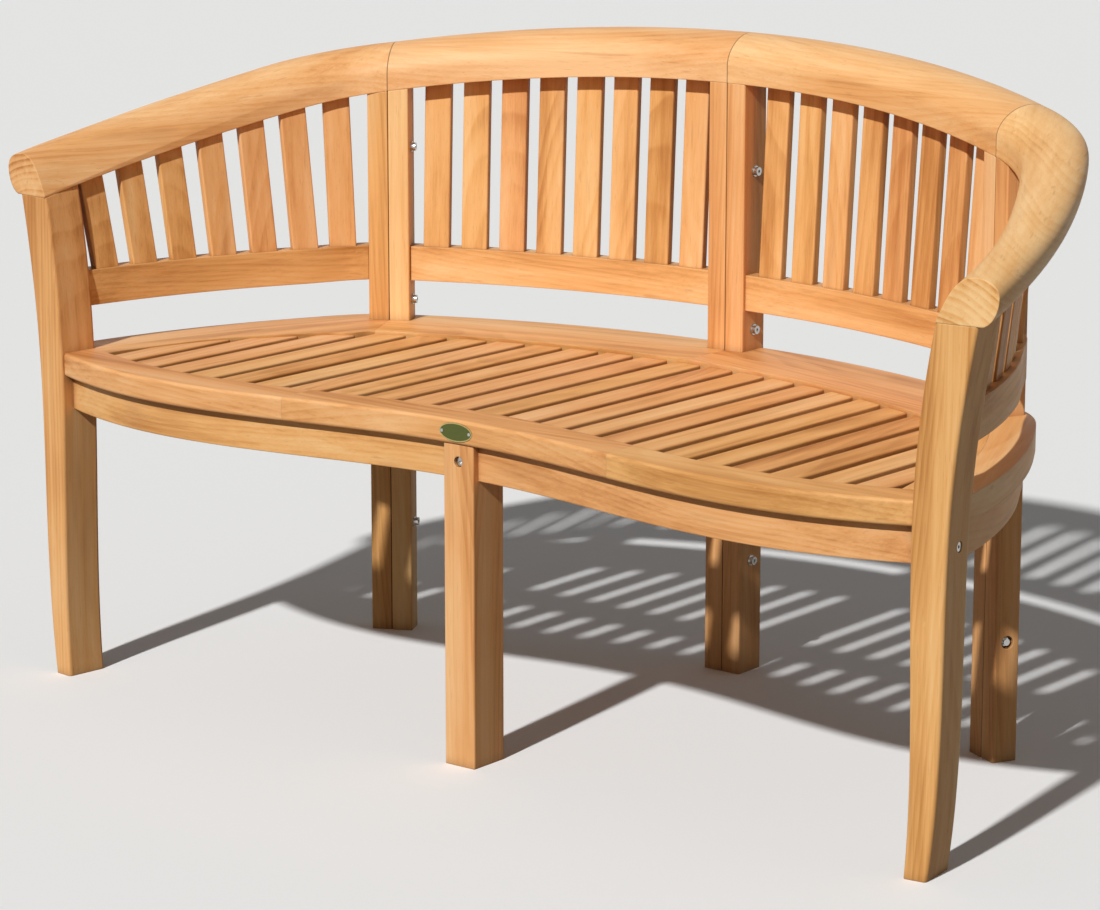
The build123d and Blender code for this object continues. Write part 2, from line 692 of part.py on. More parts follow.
with BuildPart() as centre_post_left:
    mirror(centre_post.part, about=Plane.YZ)
    nut_sinks(0.0, -1)
save(centre_post_left, "centre_post_left")

with BuildPart() as corner_post:
    post_blank(CORNER, -1)
    above_rail()
    post_tenon(CORNER, -1)
    lower_stubs([CORNER_END], CLEARANCE, Mode.SUBTRACT)
    apron_stubs([CORNER_END], CLEARANCE, Mode.SUBTRACT)
    cross_holes(CORNER, BOLT_HEIGHTS)
save_pair(corner_post, "corner_post")

with BuildPart() as arm_post:
    post_blank(CORNER, 1)
    above_rail()
    post_tenon(CORNER, 1)
    lower_stubs([ARM_POST_END], CLEARANCE, Mode.SUBTRACT)
    apron_stubs([ARM_POST_END], CLEARANCE, Mode.SUBTRACT)
    cross_holes(CORNER, BOLT_HEIGHTS)
    nut_sinks(CORNER, 1)
save_pair(arm_post, "arm_post")

# Legs
APRON_MIDDLE = APRON_FRONT_SETBACK + APRON_THICK / 2
APRON_MIDDLE_Z = APRON_Z + APRON_HEIGHT / 2
LEG_FACE = spot(ARM_END, -LEG_FLARE, APRON_MIDDLE_Z)
LEG_INSET = (wave_y(LEG_FACE_X) + APRON_MIDDLE - LEG_FACE.Y) / sin(ARM_TURN)
LEG_JOINT = Plane(LEG_FACE - onward(ARM_END) * LEG_INSET, x_dir=onward(ARM_END), z_dir=outward(ARM_END))
STRETCHER_JOINT = Plane((0, CENTRE_LEG_BACK, APRON_MIDDLE_Z), x_dir=(1, 0, 0), z_dir=(0, -1, 0))
STUB_HEIGHT = APRON_HEIGHT - 2 * STUB_MARGIN


def centre_joint(side):
    """Joint of a front apron on one side of the centre leg."""
    y = wave_y(CENTRE_LEG_WIDTH / 2) + APRON_MIDDLE
    return Plane((side * CENTRE_LEG_WIDTH / 2, y, APRON_MIDDLE_Z), x_dir=(0, 1, 0), z_dir=(-side, 0, 0))


def leg_bolt_holes(joint, thickness):
    """Bolt hole through a leg and on into an apron, with a counterbore for the head."""
    with BuildSketch(joint.offset(-LEG_BOLT_REACH)) as section:
        Circle(BOLT_HOLE_DIAMETER / 2)
    extrude(section.sketch, amount=LEG_BOLT_REACH + thickness, mode=Mode.SUBTRACT)
    with BuildSketch(joint.offset(thickness - LEG_BOLT_SINK)) as section:
        Circle(LEG_BOLT_BORE / 2)
    extrude(section.sketch, amount=2 * LEG_BOLT_SINK, mode=Mode.SUBTRACT)


def barrel_place(joint):
    centre = joint.origin - joint.z_dir * BARREL_REACH
    return Plane((centre.X, centre.Y, APRON_MIDDLE_Z))


def barrel_hole(joint):
    """Hole bored up from the underside of an apron for a barrel nut."""
    with BuildSketch(barrel_place(joint).offset(-APRON_HEIGHT / 2)) as section:
        Circle(BARREL_DIAMETER / 2 + CLEARANCE)
    extrude(section.sketch, amount=(APRON_HEIGHT + BARREL_LENGTH) / 2, mode=Mode.SUBTRACT)


def centre_leg_blank(mode=Mode.ADD):
    with BuildSketch(Plane((0, CENTRE_LEG_FRONT, 0))) as section:
        Rectangle(CENTRE_LEG_WIDTH, CENTRE_LEG_DEPTH, align=(Align.CENTER, Align.MIN))
        if mode == Mode.ADD:
            fillet(section.vertices(), EDGE_ROUND)
    extrude(section.sketch, amount=SEAT_UNDER, mode=mode)


def centre_tenon(grow=0.0, mode=Mode.ADD):
    """Tenon of the centre leg in the seat's front rail."""
    plane = Plane((0, CENTRE_LEG_FRONT + CENTRE_LEG_DEPTH / 2, SEAT_UNDER))
    stub(plane, LEG_TENON_WIDTH, LEG_TENON_DEPTH, CENTRE_TENON, grow, mode)


with BuildPart() as front_leg:
    leg_blank()
    fillet(front_leg.edges().filter_by(GeomType.BSPLINE), LEG_ROUND)
    above_rail()
    leg_tenon()
    lower_stubs([LEG_END], CLEARANCE, Mode.SUBTRACT)
    apron_stubs([LEG_END], CLEARANCE, Mode.SUBTRACT)
    stub(LEG_JOINT, STUB_THICK, STUB_HEIGHT, grow=CLEARANCE, mode=Mode.SUBTRACT)
    leg_bolt_holes(LEG_JOINT, LEG_SEAT_WIDTH)
save_pair(front_leg, "front_leg")

with BuildPart() as centre_leg:
    centre_leg_blank()
    centre_tenon()
    for side in (-1, 1):
        stub(centre_joint(side), STUB_THICK, STUB_HEIGHT, grow=CLEARANCE, mode=Mode.SUBTRACT)
    stub(STRETCHER_JOINT, STUB_THICK, STUB_HEIGHT, grow=CLEARANCE, mode=Mode.SUBTRACT)
    leg_bolt_holes(STRETCHER_JOINT, CENTRE_LEG_DEPTH)
save(centre_leg, "front_leg_centre")

# Lower rails and upright slats
BACK_SPAN = steps(POST_WIDTH / 2, CORNER - POST_WIDTH / 2, BACK_STEPS)
ARM_SPAN = steps(CORNER + POST_WIDTH / 2, BEND_END, BEND_STEPS)
ARM_SPAN += steps(BEND_END, LEG_BACK + LEG_DEPTH / 2, ARM_STEPS)[1:]


def cut_at_back_posts():
    post_blank(0.0, 1, Mode.SUBTRACT)
    post_blank(CORNER, -1, Mode.SUBTRACT)


def cut_at_arm_posts():
    post_blank(CORNER, 1, Mode.SUBTRACT)
    leg_blank(Mode.SUBTRACT)


with BuildPart() as back_lower_rail:
    lower_rail_blank(BACK_SPAN)
    cut_at_back_posts()
    lower_stubs([CENTRE_END, CORNER_END])
    back_slats(CLEARANCE, Mode.SUBTRACT)
save_pair(back_lower_rail, "back_lower_rail")

with BuildPart() as arm_lower_rail:
    lower_rail_blank(ARM_SPAN)
    cut_at_arm_posts()
    lower_stubs([ARM_POST_END, LEG_END])
    arm_slats(CLEARANCE, Mode.SUBTRACT)
save_pair(arm_lower_rail, "arm_lower_rail")

with BuildPart() as back_slat_row:
    back_slats()
save_pair(back_slat_row, "back_slats")

with BuildPart() as arm_slat_row:
    arm_slats()
save_pair(arm_slat_row, "arm_slats")

# Aprons and stretcher
with BuildPart() as back_apron:
    apron_blank(BACK_SPAN)
    cut_at_back_posts()
    apron_stubs([CENTRE_END, CORNER_END])
save_pair(back_apron, "back_apron")

with BuildPart() as side_apron:
    apron_blank(ARM_SPAN)
    cut_at_arm_posts()
    apron_stubs([ARM_POST_END, LEG_END])
save_pair(side_apron, "side_apron")

with BuildPart() as front_apron:
    wave_board(
        CENTRE_LEG_WIDTH / 4,
        LEG_FACE_X,
        APRON_FRONT_SETBACK,
        APRON_FRONT_SETBACK + APRON_THICK,
        APRON_Z,
        APRON_HEIGHT,
    )
    centre_leg_blank(Mode.SUBTRACT)
    leg_blank(Mode.SUBTRACT)
    stub(centre_joint(1), STUB_THICK, STUB_HEIGHT)
    stub(LEG_JOINT, STUB_THICK, STUB_HEIGHT)
    leg_bolt_holes(LEG_JOINT, LEG_SEAT_WIDTH)
    barrel_hole(LEG_JOINT)
save_pair(front_apron, "front_apron")

with BuildPart() as stretcher:
    with BuildSketch(Plane((0, CENTRE_LEG_BACK, APRON_Z))):
        Rectangle(STRETCHER_THICK, BACK_FACE_Y - CENTRE_LEG_BACK, align=(Align.CENTER, Align.MIN))
    extrude(amount=APRON_HEIGHT)
    stub(STRETCHER_JOINT, STUB_THICK, STUB_HEIGHT)
    leg_bolt_holes(STRETCHER_JOINT, CENTRE_LEG_DEPTH)
    barrel_hole(STRETCHER_JOINT)
save(stretcher, "centre_stretcher")

# Seat frame
PLATE_Z = SEAT_UNDER + SEAT_THICK / 2
PLATE_PLANE = Plane((0, wave_y(0) + PLATE_SINK, PLATE_Z), x_dir=(1, 0, 0), z_dir=(0, -1, 0))


def round_front(piece):
    """Rounds the front edges of a piece of the seat's front rail."""
    fillet(piece.edges().filter_by(GeomType.BSPLINE).sort_by(Axis.Y)[:2], SEAT_ROUND)


def pins(diameter, mode=Mode.ADD):
    for side in (-1, 1):
        with BuildSketch(PLATE_PLANE.offset(-PIN_LENGTH)) as section:
            with Locations((side * PIN_SPACING / 2, 0)):
                Circle(diameter / 2)
        extrude(section.sketch, amount=PIN_LENGTH + PLATE_THICK, mode=mode)


with BuildPart() as front_rail_centre:
    front_rail_blank(-SEAT_RAIL_JOINT_X, SEAT_RAIL_JOINT_X)
    round_front(front_rail_centre)
    seat_slat_stubs(SLATS_ALL, CLEARANCE, Mode.SUBTRACT)
    centre_tenon(CLEARANCE, Mode.SUBTRACT)
    wave_dowels(CLEARANCE, Mode.SUBTRACT)
    with BuildSketch(PLATE_PLANE):
        Ellipse(PLATE_WIDTH / 2 + CLEARANCE, PLATE_HEIGHT / 2 + CLEARANCE)
    extrude(amount=SEAT_ROUND, mode=Mode.SUBTRACT)
    pins(PIN_DIAMETER + CLEARANCE, Mode.SUBTRACT)
save(front_rail_centre, "seat_front_rail_centre")

with BuildPart() as front_rail:
    front_rail_blank(SEAT_RAIL_JOINT_X, LEG_FACE_X)
    round_front(front_rail)
    leg_blank(Mode.SUBTRACT)
    seat_slat_stubs(SLATS_ALL, CLEARANCE, Mode.SUBTRACT)
    wave_dowels(CLEARANCE, Mode.SUBTRACT)
save_pair(front_rail, "seat_front_rail")

with BuildPart() as front_rail_dowels:
    wave_dowels()
save(front_rail_dowels, "seat_front_dowels")

with BuildPart() as rim_outer_back:
    rim_blank(BACK_STATIONS, rim_seam, rim_outer)
    cut_at_back_posts()
save_pair(rim_outer_back, "seat_rim_outer_back")

with BuildPart() as rim_inner_back:
    rim_blank(BACK_STATIONS, rim_inner, rim_seam)
    seat_slat_stubs(SLATS_ALL, CLEARANCE, Mode.SUBTRACT)
save_pair(rim_inner_back, "seat_rim_inner_back")

with BuildPart() as rim_outer_side:
    rim_blank(RIM_SIDE, rim_seam, rim_outer)
    cut_at_arm_posts()
    front_rail_blank(SEAT_RAIL_JOINT_X, LEG_FACE_X, mode=Mode.SUBTRACT)
save_pair(rim_outer_side, "seat_rim_outer_side")

with BuildPart() as rim_inner_side:
    rim_blank(RIM_SIDE, rim_inner, rim_seam)
    front_rail_blank(SEAT_RAIL_JOINT_X, LEG_FACE_X, mode=Mode.SUBTRACT)
    seat_slat_stubs(SLATS_ALL, CLEARANCE, Mode.SUBTRACT)
save_pair(rim_inner_side, "seat_rim_inner_side")

# Seat slats
with BuildPart() as seat_slat_centre:
    seat_slat_blank([0.0])
    seat_slat_stubs([0.0])
save(seat_slat_centre, "seat_slat_centre")

with BuildPart() as seat_slat_row:
    seat_slat_blank(SLATS_RIGHT)
    seat_slat_stubs(SLATS_RIGHT)
save_pair(seat_slat_row, "seat_slats")

with BuildPart() as batten:
    section_start = Plane.YZ.offset(STRETCHER_THICK / 2)
    front_y = BATTEN_Y - BATTEN_WIDTH / 2
    back_y = BATTEN_Y + BATTEN_WIDTH / 2
    with BuildSketch(section_start):
        with BuildLine():
            Polyline(
                (front_y, slat_under(front_y)),
                (back_y, slat_under(back_y)),
                (back_y, slat_under(back_y) - BATTEN_HEIGHT),
                (front_y, slat_under(back_y) - BATTEN_HEIGHT),
                close=True,
            )
        make_face()
    apron_x = apron_middle(last_place(lambda along: apron_middle(along).Y > BATTEN_Y)).X
    extrude(amount=apron_x - STRETCHER_THICK / 2)
    apron_blank(ARM_SPAN, Mode.SUBTRACT)
    rim_blank(RIM_SIDE, rim_inner, rim_outer, Mode.SUBTRACT)
save_pair(batten, "seat_batten")

# Bolts through the posts, with sunk nuts
HEAD_GRIP = POST_WIDTH + WASHER_THICK
NUT_GRIP = NUT_SEAT + WASHER_THICK
POST_BOLT_LENGTH = HEAD_GRIP + NUT_GRIP + NUT_HEIGHT - CLEARANCE
CORNER_BOLTS = [-section_plane(CORNER, CORNER_POST_DEPTH / 2, z) for z in BOLT_HEIGHTS]
CENTRE_BOLTS = [section_plane(0.0, CENTRE_POST_DEPTH / 2, z) for z in BOLT_HEIGHTS]


def bolt(plane, head_at, length):
    """Socket-head bolt along a plane's normal, with its head's underside at head_at."""
    disc(plane.offset(head_at - length), BOLT_DIAMETER, length)
    disc(plane.offset(head_at), BOLT_HEAD_DIAMETER, BOLT_HEAD_HEIGHT)
    with BuildSketch(plane.offset(head_at + BOLT_HEAD_HEIGHT)) as section:
        RegularPolygon(BOLT_SOCKET / 2, 6, major_radius=False)
    extrude(section.sketch, amount=-BOLT_SOCKET_DEPTH, mode=Mode.SUBTRACT)


def washers(plane):
    for start in (POST_WIDTH, -NUT_GRIP):
        disc(plane.offset(start), WASHER_DIAMETER, WASHER_THICK)
    disc(plane.offset(-NUT_GRIP), BOLT_HOLE_DIAMETER, HEAD_GRIP + NUT_GRIP, Mode.SUBTRACT)


def cap_nut(plane):
    with BuildSketch(plane.offset(-NUT_GRIP)) as section:
        RegularPolygon(NUT_DIAMETER / 2, 6)
    extrude(section.sketch, amount=-NUT_HEIGHT)
    disc(plane.offset(-NUT_GRIP - NUT_HEIGHT), NUT_CAP_DIAMETER, -NUT_CAP_HEIGHT)
    disc(plane.offset(-NUT_GRIP), BOLT_DIAMETER + CLEARANCE, -NUT_HEIGHT, Mode.SUBTRACT)


with BuildPart() as post_bolts:
    for place in CORNER_BOLTS:
        bolt(place, HEAD_GRIP, POST_BOLT_LENGTH)
    mirror(about=Plane.YZ)
    for place in CENTRE_BOLTS:
        bolt(place, HEAD_GRIP, POST_BOLT_LENGTH)
save(post_bolts, "post_bolts")

with BuildPart() as post_washers:
    for place in CORNER_BOLTS:
        washers(place)
    mirror(about=Plane.YZ)
    for place in CENTRE_BOLTS:
        washers(place)
save(post_washers, "post_washers")

with BuildPart() as post_nuts:
    for place in CORNER_BOLTS:
        cap_nut(place)
    mirror(about=Plane.YZ)
    for place in CENTRE_BOLTS:
        cap_nut(place)
save(post_nuts, "post_cap_nuts")

# Bolts of the front legs, each with a barrel nut in the apron or stretcher behind it


def leg_bolt(joint, thickness):
    seat = thickness - LEG_BOLT_SINK
    bolt(joint, seat, seat + LEG_BOLT_REACH - CLEARANCE)


def barrel_nut(joint):
    disc(barrel_place(joint).offset(-BARREL_LENGTH / 2), BARREL_DIAMETER, BARREL_LENGTH)
    disc(joint.offset(-LEG_BOLT_REACH), BOLT_DIAMETER + CLEARANCE, LEG_BOLT_REACH, Mode.SUBTRACT)


with BuildPart() as leg_bolts:
    leg_bolt(LEG_JOINT, LEG_SEAT_WIDTH)
    mirror(about=Plane.YZ)
    leg_bolt(STRETCHER_JOINT, CENTRE_LEG_DEPTH)
save(leg_bolts, "leg_bolts")

with BuildPart() as barrel_nuts:
    barrel_nut(LEG_JOINT)
    mirror(about=Plane.YZ)
    barrel_nut(STRETCHER_JOINT)
save(barrel_nuts, "barrel_nuts")

# Blank oval plate on the front rail
with BuildPart() as plate_border:
    with BuildSketch(PLATE_PLANE):
        Ellipse(PLATE_WIDTH / 2, PLATE_HEIGHT / 2)
        Ellipse(PLATE_WIDTH / 2 - PLATE_BORDER, PLATE_HEIGHT / 2 - PLATE_BORDER, mode=Mode.SUBTRACT)
    extrude(amount=PLATE_BORDER_THICK)
save(plate_border, "oval_plate_border")

with BuildPart() as plate:
    with BuildSketch(PLATE_PLANE):
        Ellipse(PLATE_WIDTH / 2 - PLATE_BORDER, PLATE_HEIGHT / 2 - PLATE_BORDER)
    extrude(amount=PLATE_THICK)
    pins(PIN_DIAMETER + CLEARANCE, Mode.SUBTRACT)
save(plate, "oval_plate")

with BuildPart() as plate_pins:
    pins(PIN_DIAMETER)
    for side in (-1, 1):
        with BuildSketch(PLATE_PLANE.offset(PLATE_THICK)):
            with Locations((side * PIN_SPACING / 2, 0)):
                Circle(PIN_HEAD_DIAMETER / 2)
        extrude(amount=PIN_HEAD_HEIGHT)
save(plate_pins, "plate_pins")
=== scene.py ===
"""Crescent garden bench: oiled hardwood, steel fittings, pale studio floor and camera."""
import math
from collections import namedtuple

import bpy
from mathutils import Matrix, Vector

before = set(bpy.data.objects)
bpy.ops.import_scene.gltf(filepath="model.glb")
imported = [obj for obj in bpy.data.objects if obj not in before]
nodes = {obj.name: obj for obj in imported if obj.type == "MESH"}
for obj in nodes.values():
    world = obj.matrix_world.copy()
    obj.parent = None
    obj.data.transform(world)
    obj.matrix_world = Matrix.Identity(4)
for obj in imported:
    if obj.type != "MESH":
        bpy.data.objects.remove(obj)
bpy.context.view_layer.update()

# Camera: frame width and focal length in pixels of the photograph, place in metres
FRAME_WIDTH = 1100
FOCAL_PIXELS = 3942.0
SENSOR_MM = 36.0
CAMERA_PLACE = (2.931, -3.789, 1.426)
CAMERA_AZIMUTH = math.radians(38.5)
CAMERA_ELEVATION = math.radians(12.81)

# Light
KEY_FROM = Vector((0.095, -0.771, 0.63))
KEY_STRENGTH = 3.3
KEY_ANGLE = math.radians(2.0)
SKY_COLOUR = (1.0, 1.0, 1.0, 1.0)
SKY_LEVELS = (0.12, 0.9)  # where the sky lights the bench, and where it is seen

# Floor: the colour that is seen and the darker one that lights the bench
FLOOR_HALF = 30.0
FLOOR_SIGNS = ((-1, -1), (1, -1), (1, 1), (-1, 1))
FLOOR_PALE = (0.96, 0.96, 0.95, 1.0)
FLOOR_BOUNCE = (0.13, 0.125, 0.11, 1.0)
FLOOR_ROUGHNESS = 0.9

# Wood colours, from the darkest latewood to the palest sapwood
WOOD_DARK = (0.28, 0.09, 0.022)
WOOD_BROWN = (0.56, 0.235, 0.066)
WOOD_HONEY = (0.80, 0.405, 0.145)
WOOD_PALE = (0.92, 0.57, 0.27)
WOOD_STOPS = ((0.0, WOOD_DARK), (0.34, WOOD_BROWN), (0.62, WOOD_HONEY), (1.0, WOOD_PALE))
STREAK_COLOUR = (0.40, 0.16, 0.05, 1.0)
STAIN_COLOUR = (0.50, 0.24, 0.10, 1.0)
PORE_COLOUR = (0.33, 0.13, 0.04, 1.0)
JOINT_COLOUR = (0.10, 0.04, 0.015, 1.0)
# Painted shade, laid into crevices, gaps and the spaces under parts where nearby surfaces close in
PAINTED_SHADE_COLOUR = (0.20, 0.08, 0.024, 1.0)

# Metal and plate
STEEL_COLOUR = (0.64, 0.63, 0.60)
STEEL_ROUGHNESS = 0.28
BRASS_COLOUR = (0.66, 0.55, 0.24)
BRASS_ROUGHNESS = 0.32
SCRATCH_SHADE = 0.75
SCRATCH_ROUGHNESS = 0.08
PLATE_DARK = (0.058, 0.076, 0.010, 1.0)
PLATE_LIGHT = (0.125, 0.138, 0.025, 1.0)
PLATE_ROUGHNESS = (0.32, 0.5)
PLATE_METALLIC = 0.35

# Layers of noise, in waves per metre along each axis; in wood the first axis follows the grain
Layer = namedtuple("Layer", "waves detail roughness")
WANDER = Layer((1.6, 6.0, 6.0), 2.0, 0.5)
FIBRE = Layer((6.0, 520.0, 520.0), 3.0, 0.6)
STREAKS = Layer((1.4, 110.0, 110.0), 4.0, 0.6)
BANDS = Layer((0.7, 26.0, 26.0), 2.0, 0.5)
CLOUDS = Layer((3.2, 11.0, 11.0), 3.0, 0.55)
STAINS = Layer((4.5, 30.0, 30.0), 2.0, 0.5)
MINERAL = Layer((1.1, 190.0, 190.0), 1.0, 0.5)
PORES = Layer((34.0, 900.0, 900.0), 1.0, 0.5)
SCUFFS = Layer((48.0, 130.0, 130.0), 2.0, 0.5)
SCRATCHES = Layer((900.0, 900.0, 900.0), 2.0, 0.5)
BRUSHING = Layer((60.0, 300.0, 2600.0), 3.0, 0.6)
PLATE_CLOUDS = Layer((70.0, 70.0, 70.0), 2.0, 0.5)

# Ranges of a share, of most noise and of the fibres' noise
WHOLE = (0.0, 1.0)
NOISE_MIDDLE = 0.5
NOISE_ENDS = (0.3, 0.7)
FIBRE_ENDS = (0.25, 0.75)

# Difference between one piece of wood and the next
SEED_STEP = 37.0
PIECE_SHIFT = (31.0, 17.0, 23.0)
HUE_ENDS = (0.496, 0.504)

# Growth rings round a heart, with places in metres
HEART_PLACE = (0.0, -0.11, 0.05)
HEART_SPREAD = (0.0, 0.22, 0.20)
HEART_TILT = 0.16
WANDER_REACH = (0.0, 0.045, 0.045)
ACROSS_GRAIN = (0.0, 1.0, 1.0)
RINGS_PER_METRE = 145.0
LATE_RISE = (0.15, 0.85)
LATE_FALL = (0.85, 1.0)
YEAR_SCALE = 0.31
YEAR_DETAIL = 1.0
YEAR_DEPTHS = (0.15, 1.0)

# Shade of the wood, where 0 is the darkest colour and 1 the palest, and what each layer adds to it
BASE_SHADE = 0.65
RING_SHADES = (-0.14, -0.42)  # on the long faces, and on end grain
PIECE_SWAY = 0.18
FIBRE_SWAY = 0.26
STREAK_SWAY = 0.50
BAND_SWAY = 0.85
CLOUD_SWAY = 0.80

# Levels of noise at which a layer starts and is full, and how much of the wood it covers there
MINERAL_ENDS = (0.64, 0.80)
MINERAL_COVER = (0.0, 0.28)
STAIN_ENDS = (0.58, 0.76)
STAIN_COVER = (0.0, 0.3)
PORE_ENDS = (0.62, 0.76)
PORE_COVER = (0.0, 0.22)
SCUFF_ENDS = (0.72, 0.8)
SCUFF_COVER = (0.0, 0.3)

# Paler edges, partly wear and partly painted highlight; painted shade in crevices and under parts; dark
# joints; lengths in metres
# Edges lightened towards the palest wood, partly wear and partly painted highlight
EDGE_RADIUS = 0.0022
EDGE_ENDS = (0.99, 0.80)  # cosine between the true and the rounded normal
EDGE_COVER = (0.2, 0.6)
# Painted shade: how far the occlusion looks for nearby surfaces, and how much darker it paints there
PAINTED_SHADE_REACH = 0.024
PAINTED_SHADE_ENDS = (0.2, 0.8)
PAINTED_SHADE_COVER = (0.7, 0.0)
NEARBY_SAMPLES = 6
JOINT_ENDS = (0.0011, 0.0004)
JOINT_COVER = (0.0, 0.6)
END_GRAIN_ENDS = (0.75, 0.95)  # share of the normal along the grain

# Surface of the wood
WOOD_ROUGHNESS = (0.44, 0.62)
WOOD_SPECULAR = 0.26
PORE_RELIEF = -1.0
RING_RELIEF = 0.35
RELIEF_STRENGTH = 0.22
RELIEF_DEPTH = 0.0006

# Places of the slats, in metres
SEAT_SLAT_PITCH = 0.05241
SEAT_SLAT_MIDDLE = 0.418
BACK_SLAT_PITCH = 0.05234
BACK_SLAT_FIRST = 0.06234
BACK_ARC_MIDDLE = (0.0, -0.7925)
BACK_ARC_RADIUS = 1.05
CORNER_ALONG = 0.4911
ARM_SLAT_PITCH = 0.0574
ARM_SLAT_FIRST = 0.9412
ARM_ARC_MIDDLE = (-0.262, -0.4063)
ARM_ARC_RADIUS = 0.945

# Turns that bring a board's grain onto the X axis
ALONG_X = (0.0, 0.0, 0.0)
ALONG_Y = (0.0, 0.0, -math.pi / 2)
ALONG_Z = (0.0, math.pi / 2, 0.0)
BACK_TURN = math.radians(13.2)
ARM_TURN = math.radians(66.0)

# Groups of nodes, by name or by the start of it, and the shade added to some boards
STRAIGHT_BOARDS = ("seat_front", "front_apron", "seat_batten", "rail_dowels")
JOINTED_NODES = ("back_rail", "arm_rail", "centre_post", "corner_post", "arm_post")
STEEL_NODES = ("post_bolts", "post_washers", "post_cap_nuts", "leg_bolts", "barrel_nuts", "plate_pins")
TONES = (
    ("back_rail", 0.14),
    ("arm_rail", 0.11),
    ("centre_post", 0.05),
    ("corner_post", 0.05),
    ("arm_post", 0.04),
    ("front_leg", -0.01),
    ("back_lower_rail", -0.02),
    ("arm_lower_rail", -0.02),
    ("back_slats", -0.03),
    ("front_apron", -0.02),
)


class Graph:
    """Short calls for building a node tree."""

    def __init__(self, tree):
        self.tree = tree

    def plug(self, socket, value):
        """Link another node's output to a socket, or set the socket's own value."""
        if isinstance(value, bpy.types.NodeSocket):
            self.tree.links.new(value, socket)
        else:
            socket.default_value = value

    def add(self, kind, inputs=(), **settings):
        """Add a node with its settings and inputs."""
        node = self.tree.nodes.new(kind)
        for name, value in settings.items():
            setattr(node, name, value)
        for name, value in dict(inputs).items():
            self.plug(node.inputs[name], value)
        return node

    def math(self, operation, *values):
        node = self.add("ShaderNodeMath", operation=operation)
        for socket, value in zip(node.inputs, values):
            self.plug(socket, value)
        return node.outputs[0]

    def vector(self, operation, *values):
        node = self.add("ShaderNodeVectorMath", operation=operation)
        for socket, value in zip(node.inputs, values):
            self.plug(socket, value)
        return node.outputs["Value"] if operation in ("LENGTH", "DOT_PRODUCT") else node.outputs[0]

    def place(self):
        return self.add("ShaderNodeTexCoord").outputs["Object"]

    def normal(self):
        return self.add("ShaderNodeNewGeometry").outputs["Normal"]

    def split(self, vector):
        return self.add("ShaderNodeSeparateXYZ", {"Vector": vector}).outputs

    def join(self, x, y, z):
        return self.add("ShaderNodeCombineXYZ", {"X": x, "Y": y, "Z": z}).outputs[0]

    def noise(self, place, layer, output="Fac"):
        """Noise with its own scale along each axis, centred on NOISE_MIDDLE."""
        scaled = self.vector("MULTIPLY", place, layer.waves)
        inputs = {"Vector": scaled, "Scale": 1.0, "Detail": layer.detail, "Roughness": layer.roughness}
        return self.add("ShaderNodeTexNoise", inputs).outputs[output]

    def spread(self, value, ends, results=WHOLE):
        """Take a value smoothly from one range to another."""
        node = self.add("ShaderNodeMapRange", interpolation_type="SMOOTHSTEP")
        for socket, number in zip(node.inputs, (value, *ends, *results)):
            self.plug(socket, number)
        return node.outputs[0]

    def sway(self, value, wave, amount):
        """Add a wave that is centred on NOISE_MIDDLE to a value."""
        return self.math("MULTIPLY_ADD", self.math("SUBTRACT", wave, NOISE_MIDDLE), amount, value)

    def mix(self, factor, first, second):
        """Blend two colours."""
        node = self.add("ShaderNodeMix", data_type="RGBA", blend_type="MIX")
        self.plug(node.inputs["Factor"], factor)
        self.plug(node.inputs["A"], first)
        self.plug(node.inputs["B"], second)
        return node.outputs["Result"]

    def ramp(self, factor, stops):
        """Colour ramp through the stops; a new ramp has its first and last element."""
        node = self.add("ShaderNodeValToRGB", {"Fac": factor})
        elements = node.color_ramp.elements
        for place, _ in stops[1:-1]:
            elements.new(place)
        for element, (place, colour) in zip(elements, stops):
            element.position = place
            element.color = (*colour, 1.0)
        return node.outputs[0]


def new_material(name):
    """New material with its graph and its shader."""
    material = bpy.data.materials.new(name)
    material.use_nodes = True
    material.node_tree.nodes.clear()
    graph = Graph(material.node_tree)
    shader = graph.add("ShaderNodeBsdfPrincipled")
    output = graph.add("ShaderNodeOutputMaterial")
    graph.plug(output.inputs["Surface"], shader.outputs[0])
    return material, graph, shader


def turned_vector(graph, vector, turn):
    inputs = {"Vector": vector, "Rotation": turn}
    return graph.add("ShaderNodeVectorRotate", inputs, rotation_type="EULER_XYZ").outputs[0]


def board_frame(graph, middle, turn):
    """Grain along X, from the middle of one board, and the share of end grain."""
    local = turned_vector(graph, graph.vector("SUBTRACT", graph.place(), middle), turn)
    facing = graph.split(turned_vector(graph, graph.normal(), turn))[0]
    end_grain = graph.spread(graph.math("ABSOLUTE", facing), END_GRAIN_ENDS)
    return local, 0.0, end_grain


def seat_slat_frame(graph):
    """Grain along X, from the middle line of each seat slat, and the slat's number."""
    x, y, z = graph.split(graph.place())
    number = graph.math("ROUND", graph.math("DIVIDE", x, SEAT_SLAT_PITCH))
    across = graph.math("MULTIPLY_ADD", number, -SEAT_SLAT_PITCH, x)
    return graph.join(y, across, graph.math("SUBTRACT", z, SEAT_SLAT_MIDDLE)), number, 0.0


def upright_slat_frame(graph, arc_middle, arc_radius, first, pitch):
    """Grain along X, from the middle line of each slat round an arc, and the slat's number."""
    x, y, z = graph.split(graph.place())
    sideways = graph.math("SUBTRACT", graph.math("ABSOLUTE", x), arc_middle[0])
    back = graph.math("SUBTRACT", y, arc_middle[1])
    along = graph.math("MULTIPLY", graph.math("ARCTAN2", sideways, back), arc_radius)
    past_first = graph.math("SUBTRACT", along, first)
    number = graph.math("ROUND", graph.math("DIVIDE", past_first, pitch))
    across = graph.math("MULTIPLY_ADD", number, -pitch, past_first)
    reach = graph.vector("LENGTH", graph.join(sideways, back, 0.0))
    return graph.join(z, across, graph.math("SUBTRACT", reach, arc_radius)), number, 0.0


